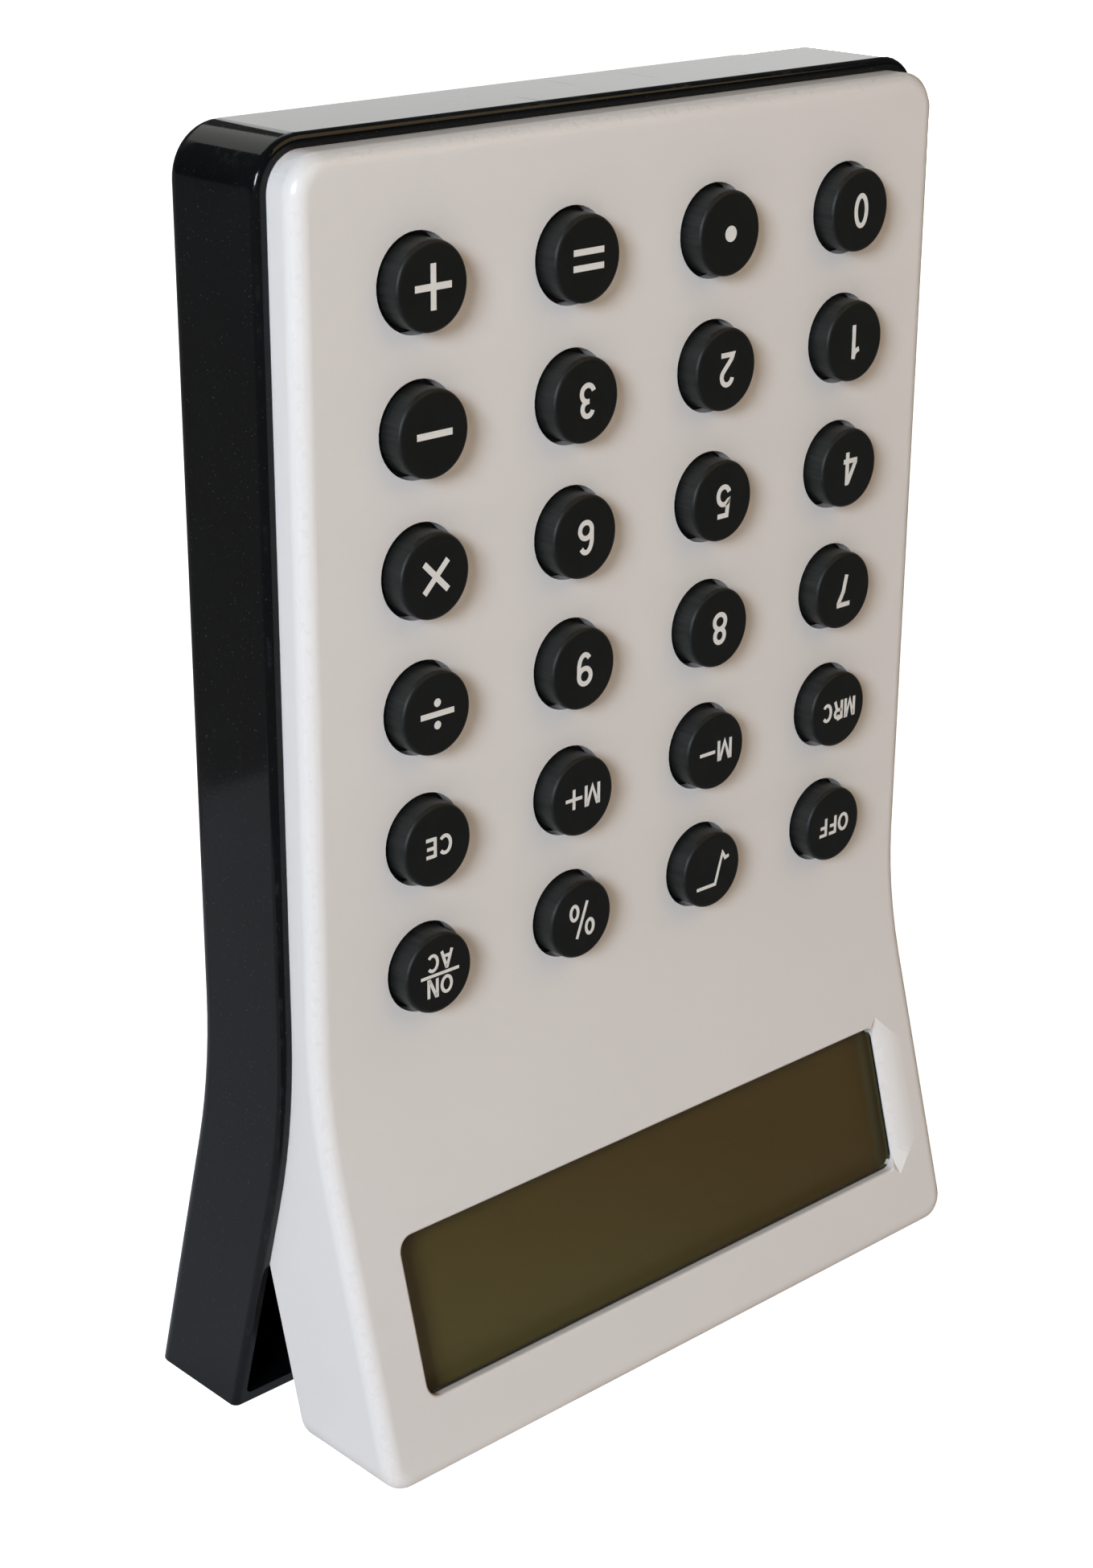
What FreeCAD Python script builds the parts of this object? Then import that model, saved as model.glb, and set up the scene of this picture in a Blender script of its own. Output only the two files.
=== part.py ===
"""Desk calculator on two splayed feet: white keypad case nested in a black rear tray.

Millimetres. X runs across the keys, Y runs from the keypad's face to the back, Z is up.
The floor is z = 0 and the overall box is centred on x = 0 and y = 0.
"""
import FreeCAD
import Part
import math
import os

os.makedirs("parts", exist_ok=True)
V = FreeCAD.Vector

# keypad layout
column_pitch = 23.0
row_pitch = 16.23
keypad_height = 101.9
key_radius = 5.06
key_hole_radius = 5.68
key_stand_out = 2.76
key_edge_round = 0.55
key_travel = 1.4
key_names = [
    ["key_plus", "key_equals", "key_point", "key_0"],
    ["key_minus", "key_3", "key_2", "key_1"],
    ["key_times", "key_6", "key_5", "key_4"],
    ["key_divide", "key_9", "key_8", "key_7"],
    ["key_clear_entry", "key_memory_add", "key_memory_subtract", "key_memory_recall"],
    ["key_on_clear", "key_percent", "key_root", "key_off"],
]

# white keypad case: flat above, its lower end leaning forward to the front foot
panel_y = -10.33
case_half_width = 51.0
case_top = 157.5
case_depth = 16.4
case_wall = 2.0
case_corner = 4.5
case_foot_corner = 3.5
case_edge_round = 2.0
front_lean = math.radians(15.59)
front_bend_radius = 67.0
front_bend_height = 46.65

# black rear tray: flat above, its lower end leaning back to the rear foot
tray_gap = 0.1
tray_wall = 1.5
tray_back_wall = 2.0
tray_back_y = panel_y + 20.36
tray_rim_y = panel_y + 4.5
tray_edge_round = 2.1
tray_rim_round = 0.9
tray_inner_corner = 1.0
rear_lean = math.radians(15.34)
rear_bend_radius = 78.0
rear_bend_height = 46.24

# display window, in distances down the leaning front from the bend
window_half_width = 43.0
window_top = 17.7
window_bottom = 38.2
window_corner = 2.0
window_edge_round = 0.4
window_roll_width = 4.0
window_roll_depth = 1.2
window_roll_straight = 7.5
window_roll_end = 6.0
lens_recess = 1.3
lens_back = 3.0
lens_border = 2.4
glass_half_width = 44.4
frame_half_width = 47.0

# parts behind the keypad, as depths behind the panel's face
flange_gap = 0.2
flange_thickness = 1.0
flange_radius = 6.2
mat_front = 5.4
board_front = 6.2
board_thickness = 1.6
board_back = board_front + board_thickness
board_half_width = 41.8
board_low = 55.5
board_high = 149.9

# guide ribs under each row of keys
rib_half_length = 40.0
rib_half_thickness = 0.6
rib_reach = 4.6
rib_drop = flange_radius + 0.5

# fixings: pillar, pilot hole and screw clearance radii
board_pillar_radius = 2.3
case_pillar_radius = 3.0
cover_pillar_radius = 3.0
small_pilot_radius = 0.9
case_pilot_radius = 1.1
board_clearance_radius = 1.1
tray_boss_radius = 3.2
tray_clearance_radius = 1.4
head_pocket_radius = 2.6
head_pocket_depth = 1.4
cover_boss_radius = 3.2
cover_clearance_radius = 1.2
cover_head_radius = 2.4
overlap = 0.2
board_screw_x = column_pitch
board_screw_z = [keypad_height - 2 * row_pitch, keypad_height, keypad_height + 2 * row_pitch]
case_screw_x = 45.3
case_screw_z = [66.0, 108.2, 150.4]
cover_screw_x = 40.0
cover_screw_z = 51.0
hook_x = 30.0
hook_low = -43.2
hook_half_width = 3.0

# leg cover
cover_thickness = 1.8
cover_top = 62.0
fit_gap = 0.1

# coin cell CR2032 and its hatch
cell_radius = 10.0
cell_thickness = 3.2
cell_z = 112.0
hatch_half_width = 17.0
hatch_half_height = 15.0
hatch_thickness = 1.6
hatch_screw_z = cell_z + 12.4
hatch_gap = 0.25
hatch_corner = 2.0
bay_half_width = 20.0
bay_half_height = 18.0
bay_depth = 12.8
bay_floor_thickness = 1.1
finger_radius = 7.0
finger_drop = 4.2
finger_depth = 0.9
grip_half_width = 5.0
grip_pitch = 1.6
grip_depth = 0.5


def box(x0, x1, y0, y1, z0, z1):
    return Part.makeBox(x1 - x0, y1 - y0, z1 - z0, V(x0, y0, z0))


def rod(radius, x, z, y0, y1):
    """Round bar along Y."""
    return Part.makeCylinder(radius, y1 - y0, V(x, y0, z), V(0, 1, 0))


def bend(face_y, bend_height, lean, radius, kick):
    """A flat face that turns through an arc towards kick (-1 forwards, 1 backwards)."""
    rise = radius * math.tan(lean / 2)
    return {"y": face_y + kick * radius, "z": bend_height + rise,
            "radius": radius, "lean": lean, "kick": kick}


def arc_point(curve, depth, angle):
    reach = curve["radius"] + depth
    y = curve["y"] - curve["kick"] * reach * math.cos(angle)
    return V(0, y, curve["z"] - reach * math.sin(angle))


def face_path(curve, depth, low, high):
    """Points down one face of a bent slab: top, arc start, arc middle, arc end, foot."""
    start = arc_point(curve, depth, 0)
    middle = arc_point(curve, depth, curve["lean"] / 2)
    end = arc_point(curve, depth, curve["lean"])
    drop = (end.z - low) / math.cos(curve["lean"])
    foot = V(0, end.y + curve["kick"] * drop * math.sin(curve["lean"]), low)
    return [V(0, start.y, high), start, middle, end, foot]


def bent_slab(curve, depth_a, depth_b, half_width, low, high):
    """Slab between two depths behind the bent face, cut level at both ends."""
    a = face_path(curve, depth_a, low, high)
    b = face_path(curve, depth_b, low, high)
    edges = [
        Part.makeLine(a[0], a[1]),
        Part.Arc(a[1], a[2], a[3]).toShape(),
        Part.makeLine(a[3], a[4]),
        Part.makeLine(a[4], b[4]),
        Part.makeLine(b[4], b[3]),
        Part.Arc(b[3], b[2], b[1]).toShape(),
        Part.makeLine(b[1], b[0]),
        Part.makeLine(b[0], a[0]),
    ]
    slab = Part.Face(Part.Wire(edges)).extrude(V(2 * half_width, 0, 0))
    slab.translate(V(-half_width, 0, 0))
    return slab


def depth_of(curve, point):
    """Depth of a point behind the bent face."""
    across = -curve["kick"] * (point.y - curve["y"])
    down = curve["z"] - point.z
    angle = min(max(math.atan2(down, across), 0), curve["lean"])
    return across * math.cos(angle) + down * math.sin(angle) - curve["radius"]


def middle_of(edge):
    return edge.valueAt((edge.FirstParameter + edge.LastParameter) / 2)


def corner_edges(solid, half_width, level):
    """Edges that run from front to back at both sides of one end."""
    found = []
    for edge in solid.Edges:
        ends = [edge.valueAt(edge.FirstParameter), edge.valueAt(edge.LastParameter)]
        at_corner = all(abs(abs(p.x) - half_width) < 0.01 and abs(p.z - level) < 0.01 for p in ends)
        if at_corner and abs(ends[0].x - ends[1].x) < 0.01:
            found.append(edge)
    return found


def rim_edges(solid, curve, depth, low, high):
    """Edges round one bent face, leaving out the seams that cross it."""
    found = []
    for edge in solid.Edges:
        spots = [edge.valueAt(edge.FirstParameter), middle_of(edge), edge.valueAt(edge.LastParameter)]
        on_face = all(abs(depth_of(curve, p) - depth) < 0.01 for p in spots)
        crossing = abs(spots[1].x) < 0.5 and low + 0.5 < spots[1].z < high - 0.5
        if on_face and not crossing:
            found.append(edge)
    return found


def rounded_box(x0, x1, y0, y1, z0, z1, radius):
    """Box with its four edges along Y rounded."""
    block = box(x0, x1, y0, y1, z0, z1)
    sides = [e for e in block.Edges if abs(e.BoundBox.YLength - (y1 - y0)) < 1e-6 and e.Length > 0
             and e.BoundBox.XLength < 1e-6 and e.BoundBox.ZLength < 1e-6]
    return block.makeFillet(radius, sides)


def on_leg(shape):
    """Move a shape drawn upright, with its origin on the bend, onto the leaning front."""
    shape.rotate(V(0, 0, 0), V(1, 0, 0), -math.degrees(front_lean))
    shape.translate(V(0, panel_y, front_bend_height))
    return shape


def pan_screw(radius, head_radius, head_height, length):
    """Screw along +Y: the head's outer face at y = 0, the shank pointing to -Y."""
    head = rod(head_radius, 0, 0, -head_height, 0)
    top = [e for e in head.Edges if abs(e.BoundBox.YMax) < 1e-6 and e.BoundBox.XLength > head_radius]
    head = head.makeFillet(head_height * 0.35, top)
    shank = rod(radius, 0, 0, -head_height - length, -head_height)
    slot = head_radius * 0.62
    width = radius * 0.32
    cross = box(-slot, slot, -head_height * 0.6, 0.1, -width, width)
    cross = cross.fuse(box(-width, width, -head_height * 0.6, 0.1, -slot, slot))
    return head.fuse(shank).cut(cross)


def copies(shape, places):
    group = []
    for x, y, z in places:
        one = shape.copy()
        one.translate(V(x, y, z))
        group.append(one)
    return Part.makeCompound(group)


def save(shape, name):
    shape.exportStep("parts/" + name + ".step")
    spare = "" if shape.isValid() else " NOT VALID"
    print(name, len(shape.Solids), round(shape.Volume, 1), spare)


white = bend(panel_y, front_bend_height, front_lean, front_bend_radius, -1)
black = bend(tray_back_y, rear_bend_height, rear_lean, rear_bend_radius, 1)
tray_half_width = case_half_width + tray_gap + tray_wall
tray_top = case_top + tray_gap + tray_wall
tray_depth = tray_back_y - tray_rim_y
rows = [keypad_height + (2.5 - i) * row_pitch for i in range(6)]
columns = [(i - 1.5) * column_pitch for i in range(4)]
keys = [(key_names[r][c], columns[c], rows[r]) for r in range(6) for c in range(4)]


def window_rim(solid):
    """Front edges of the window opening."""
    up_leg = V(0, math.sin(front_lean), math.cos(front_lean))
    found = []
    for edge in solid.Edges:
        spot = middle_of(edge)
        height = (spot - V(0, panel_y, front_bend_height)).dot(up_leg)
        level = -window_bottom - 0.01 < height < -window_top + 0.01
        if level and abs(spot.x) < window_half_width + 0.01 and abs(depth_of(white, spot)) < 0.01:
            found.append(edge)
    return found


def side_roll():
    """Cutter that rolls the face inwards at the window's right side and fades out at both ends."""
    reach = (window_roll_width ** 2 + window_roll_depth ** 2) / (2 * window_roll_depth)
    half_turn = math.asin(window_roll_width / reach) / 2
    outer = window_half_width + window_roll_width
    bow_x = reach * math.sin(half_turn)
    bow_depth = reach - reach * math.cos(half_turn)
    lowest = V(window_half_width, window_roll_depth, 0)
    right = V(outer, 0, 0)
    left = V(outer - 2 * window_roll_width, 0, 0)
    right_bow = V(outer - bow_x, bow_depth, 0)
    left_bow = V(left.x + bow_x, bow_depth, 0)
    clear = V(0, -2, 0)
    edges = [Part.Arc(left, left_bow, lowest).toShape(), Part.Arc(lowest, right_bow, right).toShape(),
             Part.makeLine(right, right + clear), Part.makeLine(right + clear, left + clear),
             Part.makeLine(left + clear, left)]
    profile = Part.Face(Part.Wire(edges))
    centre = -(window_top + window_bottom) / 2
    low = profile.translated(V(0, 0, centre - window_roll_straight))
    high = profile.translated(V(0, 0, centre + window_roll_straight))
    pivot = V(0, -window_roll_end, 0)
    tool = low.extrude(V(0, 0, 2 * window_roll_straight))
    tool = tool.fuse(low.revolve(pivot + V(0, 0, centre - window_roll_straight), V(1, 0, 0), -60))
    tool = tool.fuse(high.revolve(pivot + V(0, 0, centre + window_roll_straight), V(1, 0, 0), 60))
    return on_leg(tool)


# front shell: bent box open at the back, with key holes, window, guide ribs and screw pillars
shell = bent_slab(white, 0, case_depth, case_half_width, 0, case_top)
shell = shell.makeFillet(case_corner, corner_edges(shell, case_half_width, case_top))
shell = shell.makeFillet(case_foot_corner, corner_edges(shell, case_half_width, 0))
shell = shell.makeFillet(case_edge_round, rim_edges(shell, white, 0, 0, case_top))
pocket = rounded_box(-window_half_width, window_half_width, -3, 7, -window_bottom, -window_top, window_corner)
shell = shell.cut(on_leg(pocket))
shell = shell.makeFillet(window_edge_round, window_rim(shell))
shell = shell.cut(side_roll())

inner_edge = case_half_width - case_wall
cavity = bent_slab(white, case_wall, case_depth + 5, inner_edge, case_wall, case_top - case_wall)
cavity = cavity.makeFillet(case_corner - case_wall, corner_edges(cavity, inner_edge, case_top - case_wall))
cavity = cavity.makeFillet(case_foot_corner - case_wall, corner_edges(cavity, inner_edge, case_wall))
shell = shell.cut(cavity)
panel_back = panel_y + case_wall
for name, x, z in keys:
    shell = shell.cut(rod(key_hole_radius, x, z, panel_y - 1, panel_back + 1))

additions = []
for z in rows:
    additions.append(box(-rib_half_length, rib_half_length, panel_back - overlap, panel_y + rib_reach,
                         z - rib_drop - rib_half_thickness, z - rib_drop + rib_half_thickness))
for z in board_screw_z:
    for x in (-board_screw_x, board_screw_x):
        additions.append(rod(board_pillar_radius, x, z, panel_back - overlap, panel_y + board_front))
for z in case_screw_z:
    for x in (-case_screw_x, case_screw_x):
        additions.append(rod(case_pillar_radius, x, z, panel_back - overlap, panel_y + case_depth - fit_gap))
for x in (-cover_screw_x, cover_screw_x):
    additions.append(rod(cover_pillar_radius, x, cover_screw_z, panel_back - 3 * overlap, panel_y + 13.6))
for extra in additions:
    shell = shell.fuse(extra)
for z in board_screw_z:
    for x in (-board_screw_x, board_screw_x):
        shell = shell.cut(rod(small_pilot_radius, x, z, panel_back + 0.3, panel_y + board_front + 1))
for z in case_screw_z:
    for x in (-case_screw_x, case_screw_x):
        shell = shell.cut(rod(case_pilot_radius, x, z, panel_y + 8, panel_y + case_depth + 1))
for x in (-cover_screw_x, cover_screw_x):
    shell = shell.cut(rod(small_pilot_radius, x, cover_screw_z, panel_y + 6, panel_y + 15))
for x in (-hook_x, hook_x):
    slot_half_width = hook_half_width + 0.3
    shell = shell.cut(on_leg(box(x - slot_half_width, x + slot_half_width, 14.5, 15.9,
                                 hook_low - 0.3, hook_low + 2.5)))
save(shell, "front_shell")

# leg cover: white plate that closes the back of the leaning display end, hooked at the foot, screwed above
cover_half_width = case_half_width - case_wall - fit_gap
cover_low = case_wall + fit_gap
cover = bent_slab(white, case_depth - cover_thickness, case_depth, cover_half_width, cover_low, cover_top)
round_off = case_foot_corner - case_wall
for side in (-1, 1):
    x = side * cover_half_width
    inwards = x - side * round_off
    corner = box(min(x, inwards), max(x, inwards), -40, 40, cover_low, cover_low + round_off)
    corner = corner.cut(rod(round_off, inwards, cover_low + round_off, -41, 41))
    cover = cover.cut(corner)
for x in (-cover_screw_x, cover_screw_x):
    cover = cover.fuse(rod(cover_boss_radius, x, cover_screw_z, panel_y + 13.8, panel_y + case_depth - 1.0))
    cover = cover.cut(rod(cover_clearance_radius, x, cover_screw_z, panel_y, panel_y + 20))
    cover = cover.cut(rod(cover_head_radius, x, cover_screw_z, panel_y + 15.1, panel_y + 20))
for x in (-hook_x, hook_x):
    hook = box(x - hook_half_width, x + hook_half_width, 14.7, 15.7, hook_low, hook_low + 3.0)
    cover = cover.fuse(on_leg(hook))
    cover = cover.fuse(on_leg(box(x - 0.8, x + 0.8, board_back + 0.1, case_depth - 1.2, -34, -20)))
save(cover, "leg_cover")

# rear shell: black tray nested round the upper case, with a coin cell bay in its back
tray = bent_slab(black, 0, tray_depth, tray_half_width, 0, tray_top)
tray = tray.makeFillet(case_corner + tray_gap + tray_wall, corner_edges(tray, tray_half_width, tray_top))
back_rim = [e for e in rim_edges(tray, black, 0, 0, tray_top) if middle_of(e).z > 0.1]
tray = tray.makeFillet(tray_edge_round, back_rim)
front_rim = [e for e in rim_edges(tray, black, tray_depth, 0, tray_top) if middle_of(e).z > 0.1]
tray = tray.makeFillet(tray_rim_round, front_rim)
inner_half = case_half_width + tray_gap
dish = bent_slab(black, tray_back_wall, tray_depth + 5, inner_half, tray_wall, case_top + tray_gap)
dish = dish.makeFillet(case_corner + tray_gap, corner_edges(dish, inner_half, case_top + tray_gap))
dish = dish.makeFillet(tray_inner_corner, corner_edges(dish, inner_half, tray_wall))
tray = tray.cut(dish)
tray_floor = tray_back_y - tray_back_wall
bay_floor = panel_y + bay_depth
bay = rounded_box(-bay_half_width, bay_half_width, bay_floor, tray_floor + 0.5,
                  cell_z - bay_half_height, cell_z + bay_half_height, 3.0)
tray = tray.fuse(bay)
tray = tray.fuse(box(-46, 46, panel_y + case_depth + 0.1, tray_floor + 0.5, 58.4, 59.9))
for z in case_screw_z:
    for x in (-case_screw_x, case_screw_x):
        tray = tray.fuse(rod(tray_boss_radius, x, z, panel_y + case_depth + fit_gap, tray_floor + 0.5))
        tray = tray.cut(rod(tray_clearance_radius, x, z, panel_y + case_depth - 1, tray_back_y + 1))
        tray = tray.cut(rod(head_pocket_radius, x, z, tray_back_y - head_pocket_depth, tray_back_y + 1))
hatch_face = tray_back_y - 0.05
seat_y = hatch_face - hatch_thickness - 0.15
seat_half_width = hatch_half_width + hatch_gap
seat_half_height = hatch_half_height + hatch_gap
tray = tray.cut(rounded_box(-seat_half_width, seat_half_width, seat_y, tray_back_y + 1,
                            cell_z - seat_half_height, cell_z + seat_half_height, hatch_corner + hatch_gap))
tray = tray.cut(rod(cell_radius + 0.4, 0, cell_z, bay_floor + bay_floor_thickness, seat_y + 0.1))
tray = tray.cut(box(cell_radius - 0.6, cell_radius + 0.9, bay_floor - 0.1, seat_y + 0.1,
                    cell_z - 2.6, cell_z + 2.6))
tray = tray.cut(box(-1.8, 1.8, bay_floor - 0.1, bay_floor + 1.2, cell_z - 8.6, cell_z - 7.6))
tray = tray.cut(rod(0.95, 0, hatch_screw_z, bay_floor + 0.6, seat_y + 0.1))
finger_z = cell_z - hatch_half_height - finger_drop
tray = tray.cut(rod(finger_radius, 0, finger_z, tray_back_y - finger_depth, tray_back_y + 1))
save(tray, "rear_shell")

# battery hatch: flat plate with a pad that holds the cell down, grip ridges and a screw hole
hatch = rounded_box(-hatch_half_width, hatch_half_width, hatch_face - hatch_thickness, hatch_face,
                    cell_z - hatch_half_height, cell_z + hatch_half_height, hatch_corner)
cell_back = bay_floor + bay_floor_thickness + 0.7 + cell_thickness
hatch = hatch.fuse(rod(6.0, 0, cell_z, cell_back + 0.3, hatch_face - 0.2))
for i in range(5):
    ridge_z = cell_z - 12.4 + i * grip_pitch
    hatch = hatch.cut(box(-grip_half_width, grip_half_width, hatch_face - grip_depth, hatch_face + 1,
                          ridge_z - grip_pitch / 4, ridge_z + grip_pitch / 4))
hatch = hatch.cut(rod(1.2, 0, hatch_screw_z, hatch_face - 3, hatch_face + 1))
hatch = hatch.cut(rod(2.2, 0, hatch_screw_z, hatch_face - 0.9, hatch_face + 1))
save(hatch, "battery_hatch")

# screws
hatch_screw = pan_screw(0.85, 1.9, 0.8, 3.6)
hatch_screw.translate(V(0, hatch_face - 0.05, hatch_screw_z))
save(hatch_screw, "hatch_screw")
case_spots = [(x, tray_back_y - 0.05, z) for z in case_screw_z for x in (-case_screw_x, case_screw_x)]
save(copies(pan_screw(1.05, 2.3, 1.3, 9.5), case_spots), "case_screws")
save(copies(pan_screw(0.85, 2.1, 1.2, 6.2),
            [(x, panel_y + 16.35, cover_screw_z) for x in (-cover_screw_x, cover_screw_x)]), "cover_screws")
board_spots = [(x, z) for z in board_screw_z for x in (-board_screw_x, board_screw_x)]
save(copies(pan_screw(0.85, 1.8, 1.1, 4.6), [(x, panel_y + board_back + 1.12, z) for x, z in board_spots]),
     "board_screws")

# keys: hollow round caps with a centre post and a flange behind the panel,
# whose flat lies beside a rib and stops the key turning
cap = rod(key_radius, 0, 0, panel_y - key_stand_out, panel_back + flange_gap + 0.1)
key_top = panel_y - key_stand_out
cap = cap.makeFillet(key_edge_round, [e for e in cap.Edges if abs(e.BoundBox.YMax - key_top) < 1e-3])
flange_y = panel_back + flange_gap
cap = cap.fuse(rod(flange_radius, 0, 0, flange_y, flange_y + flange_thickness))
cap = cap.cut(rod(key_radius - 1.1, 0, 0, panel_y - key_stand_out + 1.2, flange_y + 2))
cap = cap.fuse(rod(1.5, 0, 0, panel_y - key_stand_out + 1.0, flange_y + flange_thickness))
cap = cap.cut(box(-9, 9, panel_y - 1 + case_wall, panel_y + 9, -9, -flange_radius + 0.45))
for name, x, z in keys:
    key = cap.copy()
    key.translate(V(x, 0, z))
    save(key, name)

# keypad mat: silicone sheet with one hollow dome for each key, and a carbon pill inside each dome
mat_back = panel_y + board_front
crown_front = flange_y + flange_thickness + key_travel + 0.25
mat = rounded_box(-board_half_width + 0.6, board_half_width - 0.6, panel_y + mat_front, mat_back,
                  board_low + 0.6, board_high - 0.6, 2.0)
for name, x, z in keys:
    mat = mat.fuse(Part.makeCone(3.0, 4.2, mat_back - crown_front, V(x, crown_front, z), V(0, 1, 0)))
for name, x, z in keys:
    hollow = Part.makeCone(2.4, 3.5, mat_back - crown_front - 0.4, V(x, crown_front + 0.45, z), V(0, 1, 0))
    mat = mat.cut(hollow)
for x, z in board_spots:
    mat = mat.cut(rod(board_pillar_radius + overlap, x, z, panel_y, mat_back + 1))
for z in rows:
    rib_z = z - rib_drop
    groove = rib_half_thickness + fit_gap
    mat = mat.cut(box(-rib_half_length - fit_gap, rib_half_length + fit_gap,
                      panel_y, panel_y + rib_reach + fit_gap, rib_z - groove, rib_z + groove))
save(mat, "keypad_mat")
save(copies(rod(1.8, 0, 0, 0, 0.3), [(x, crown_front + 0.46, z) for name, x, z in keys]), "contact_pills")

# main board with its bonded chip and capacitor
board_back_y = panel_y + board_back
board = rounded_box(-board_half_width, board_half_width, mat_back, board_back_y, board_low, board_high, 1.5)
for x, z in board_spots:
    board = board.cut(rod(board_clearance_radius, x, z, panel_y, panel_y + 20))
save(board, "main_board")
chip_x = -20.0
chip_z = 84.0
blob = Part.makeSphere(6.0, V(0, 0, 0)).common(box(-7, 7, 4.4, 7, -7, 7))
blob.translate(V(chip_x, board_back_y - 4.4, chip_z))
save(blob, "chip_blob")
can = Part.makeCylinder(2.0, 6.0, V(0, 0, 0), V(1, 0, 0))
can = can.makeFillet(0.3, [e for e in can.Edges if e.BoundBox.XLength < 1e-3])
can.translate(V(12, board_back_y + 2.0, 80))
save(can, "capacitor")

# coin cell and its two contacts, whose tails press on the board
cell = rod(cell_radius, 0, cell_z, cell_back - cell_thickness, cell_back)
cell = cell.makeFillet(0.5, [e for e in cell.Edges if abs(e.BoundBox.YMax - cell_back) < 1e-3])
cell = cell.cut(rod(9.2, 0, cell_z, 0, cell_back - cell_thickness + 0.25).cut(
    rod(8.6, 0, cell_z, 0, cell_back - cell_thickness + 0.25)))
save(cell, "coin_cell")
spring_y = bay_floor + 1.12
spring = box(-1.5, 1.5, spring_y, spring_y + 0.3, cell_z - 8.3, cell_z + 5)
spring = spring.fuse(rod(2.6, 0, cell_z, spring_y, spring_y + 0.3))
spring = spring.fuse(rod(1.2, 0, cell_z, spring_y + 0.2, spring_y + 0.66))
spring = spring.fuse(box(-1.5, 1.5, board_back_y + 0.02, spring_y + 0.3, cell_z - 8.3, cell_z - 8.0))
save(spring, "contact_negative")
clip = box(cell_radius + 0.05, cell_radius + 0.35, board_back_y + 0.02, cell_back, cell_z - 2.2, cell_z + 2.2)
clip = clip.fuse(box(cell_radius + 0.05, cell_radius + 1.6, board_back_y + 0.02, board_back_y + 0.32,
                     cell_z - 2.2, cell_z + 2.2))
save(clip, "contact_positive")

# display: clear window, liquid-crystal glass, reflector, frame, rubber connector, board, ribbon
opening_half = window_half_width - 0.12
lens = rounded_box(-opening_half, opening_half, lens_recess, lens_back,
                   -window_bottom + 0.12, -window_top - 0.12, window_corner - 0.12)
lens = lens.fuse(rounded_box(-window_half_width - lens_border, window_half_width + lens_border,
                             case_wall + 0.05, lens_back, -window_bottom - 1.9, -window_top + 1.9, 1.0))
save(on_leg(lens), "window_lens")
glass_low = -window_bottom - 1.0
save(on_leg(box(-glass_half_width, glass_half_width, 3.2, 3.9, glass_low, -13.8)), "lcd_front_glass")
save(on_leg(box(-glass_half_width, glass_half_width, 3.95, 4.65, glass_low, -17.0)), "lcd_rear_glass")
foil_half_width = glass_half_width - 0.4
save(on_leg(box(-foil_half_width, foil_half_width, 4.7, 4.9, glass_low + 0.4, -17.4)), "lcd_reflector")
frame_low = -41.6
frame_high = -11.6
frame = rounded_box(-frame_half_width, frame_half_width, 3.05, 6.5, frame_low, frame_high, 1.0)
frame = frame.cut(box(-glass_half_width - 0.1, glass_half_width + 0.1, 0, 9, glass_low - 0.1, -13.7))
display_screws = [(x, z) for z in (frame_low + 1.2, frame_high - 1.0) for x in (-20.0, 20.0)]
for x, z in display_screws:
    frame = frame.cut(rod(0.65, x, z, 3.6, 9))
save(on_leg(frame), "lcd_frame")
save(on_leg(box(-36, 36, 3.92, 6.55, -16.6, -14.4)), "zebra_strip")
display_back = board_back
small_half_width = frame_half_width - 0.6
small_board = rounded_box(-small_half_width, small_half_width, 6.6, display_back, frame_low, frame_high, 1.0)
for x, z in display_screws:
    small_board = small_board.cut(rod(0.8, x, z, 0, 20))
save(on_leg(small_board), "display_board")
tiny = [pan_screw(0.6, 1.2, 0.8, 3.4) for spot in display_screws]
for one, (x, z) in zip(tiny, display_screws):
    one.translate(V(x, display_back + 0.82, z))
save(on_leg(Part.makeCompound(tiny)), "display_screws")
ribbon = bent_slab(white, board_back + 0.03, board_back + 0.23, 12.0, 0, 63.0)
keep = box(-13, 13, -30, 40, -22, 60)
ribbon = ribbon.common(on_leg(keep))
save(ribbon, "display_ribbon")
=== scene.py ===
import math

import bpy
from mathutils import Matrix, Vector


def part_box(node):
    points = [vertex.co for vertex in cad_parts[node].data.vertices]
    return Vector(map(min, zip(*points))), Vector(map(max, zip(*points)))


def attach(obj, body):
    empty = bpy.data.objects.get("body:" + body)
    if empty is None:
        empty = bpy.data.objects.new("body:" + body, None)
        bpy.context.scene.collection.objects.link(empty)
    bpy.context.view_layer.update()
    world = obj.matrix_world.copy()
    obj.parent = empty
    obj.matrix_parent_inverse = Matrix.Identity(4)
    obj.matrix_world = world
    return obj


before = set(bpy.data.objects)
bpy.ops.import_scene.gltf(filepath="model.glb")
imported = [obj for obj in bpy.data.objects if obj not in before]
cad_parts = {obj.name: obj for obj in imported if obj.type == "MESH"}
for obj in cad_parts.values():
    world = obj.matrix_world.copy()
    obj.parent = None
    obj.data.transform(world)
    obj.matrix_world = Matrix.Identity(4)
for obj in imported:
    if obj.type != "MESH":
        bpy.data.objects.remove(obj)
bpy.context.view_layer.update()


# ---- White case ----
# The front shell and the plate that closes the back of its leaning end are injection moulded in
# white ABS. The faces come out of a polished tool; handling leaves faint scuffs on the rounded edges.

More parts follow.
